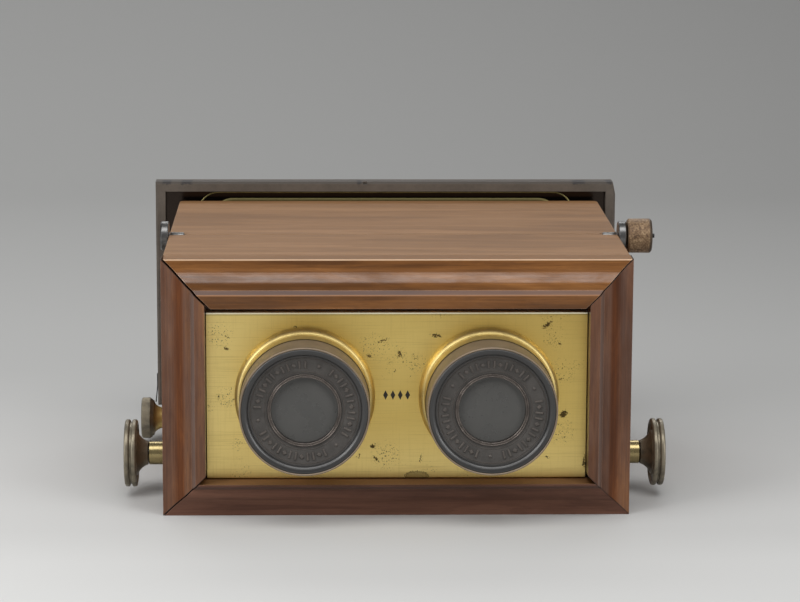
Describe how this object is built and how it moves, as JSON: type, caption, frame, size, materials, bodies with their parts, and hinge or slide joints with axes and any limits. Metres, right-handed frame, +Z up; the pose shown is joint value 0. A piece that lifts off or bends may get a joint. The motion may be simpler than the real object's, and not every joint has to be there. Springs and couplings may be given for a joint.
{
  "type": "box stereoscope",
  "caption": "Walnut box stereoscope with turned eyepieces on a racked brass lens plate, a lifting lid and a tilting reflector behind.",
  "frame": {"origin": "middle of the case's underside, half-way between the front arris and the rear face", "axes": "+Z up; -Y is the front, towards the viewer's eyes; +X to the viewer's right"},
  "size_m": [0.218, 0.1848, 0.1106],
  "materials": {
    "walnut_top": "light walnut with fine straight grain, rubbed satin",
    "walnut_moulding": "reddish-brown walnut, polished",
    "walnut_side": "reddish-brown walnut, polished",
    "walnut_base": "dark walnut, satin",
    "inner_wood": "plain mahogany, oiled",
    "black_wood": "wood stained matt black",
    "frame_wood": "worn taupe varnish over wood, dark chips",
    "plate_brass": "brushed lacquered brass with dark pits",
    "flange_brass": "polished brass",
    "knob_brass": "dulled brass, milled rims",
    "inner_brass": "machined brass",
    "bronze": "worn bronze-brown lacquer over brass",
    "black_dish": "black lacquered brass, gloss lip",
    "steel": "turned steel",
    "black_steel": "blued spring steel",
    "lens_glass": "optical glass with a dull bloom",
    "ground_glass": "finely ground on one face",
    "silvered_glass": "silvered plate glass",
    "dark_mirror": "dark mirror with a black border and gilt lines"
  },
  "bodies": {
    "case": {"base_board": "walnut_base", "side_panel_left": "walnut_side", "side_panel_right": "walnut_side", "rear_top_board": "walnut_top", "front_rail_left": "walnut_moulding", "front_rail_right": "walnut_moulding", "front_rail_bottom": "walnut_moulding", "partition": "black_wood", "guide_left": "inner_wood", "guide_right": "inner_wood", "pinion_bush_left": "flange_brass", "pinion_bush_right": "flange_brass", "lid_boss_left": "steel", "lid_boss_right": "steel", "picture_rail_bottom": "black_wood", "picture_rail_top": "black_wood", "ground_glass": "ground_glass", "rear_window": "walnut_base", "rod_bushes": "inner_brass", "case_hinge_leaves": "inner_brass", "hinge_pins": "steel"},
    "lid": {"lid_board": "walnut_top", "front_rail_top": "walnut_moulding", "lid_mirror": "silvered_glass", "mirror_clips": "inner_brass", "lid_pin_left": "steel", "lid_pin_right": "steel", "lid_knob": "bronze"},
    "carriage": {"lens_plate": "plate_brass", "carriage_board": "inner_wood", "flange_left": "flange_brass", "flange_right": "flange_brass", "eyecup_left": "bronze", "eyecup_right": "bronze", "eye_dish_left": "black_dish", "eye_dish_right": "black_dish", "lens_ring_left": "black_dish", "lens_ring_right": "black_dish", "crown_lens_left": "lens_glass", "crown_lens_right": "lens_glass", "flint_lens_left": "lens_glass", "flint_lens_right": "lens_glass", "slide_bar_left": "inner_brass", "slide_bar_right": "inner_brass", "rack_left": "inner_brass", "rack_right": "inner_brass"},
    "pinion": {"pinion_shaft": "steel", "pinion_left": "inner_brass", "pinion_right": "inner_brass", "focus_knob_left": "knob_brass", "focus_knob_right": "knob_brass"},
    "clamp": {"clamp_rod": "steel", "clamp_knob": "knob_brass", "clamp_fingers": "inner_brass"},
    "reflector": {"reflector_frame": "frame_wood", "reflector_mirror": "dark_mirror", "reflector_back": "frame_wood", "frame_hinge_leaves": "inner_brass", "side_spring": "black_steel"}
  },
  "joints": [
    {"name": "lens_slide", "type": "slide", "parent": "case", "child": "carriage", "axis": [0, -1, 0], "range_m": [0, 0.012]},
    {"name": "focus_turn", "type": "hinge", "parent": "case", "child": "pinion", "pos_m": [0, -0.03925, 0.0169], "axis": [1, 0, 0], "range_deg": [0, 123]},
    {"name": "lid_turn", "type": "hinge", "parent": "case", "child": "lid", "pos_m": [0, -0.01525, 0.102], "axis": [-1, 0, 0], "range_deg": [0, 100]},
    {"name": "clamp_turn", "type": "hinge", "parent": "case", "child": "clamp", "pos_m": [0, 0.04975, 0.0108], "axis": [1, 0, 0], "range_deg": [0, 75]},
    {"name": "reflector_tilt", "type": "hinge", "parent": "case", "child": "reflector", "pos_m": [0, 0.07765, 0.008], "axis": [-1, 0, 0], "range_deg": [0, 70]}
  ],
  "couplings": [
    {"joint": "focus_turn", "follows": "lens_slide", "rad_per_m": 178.57}
  ]
}
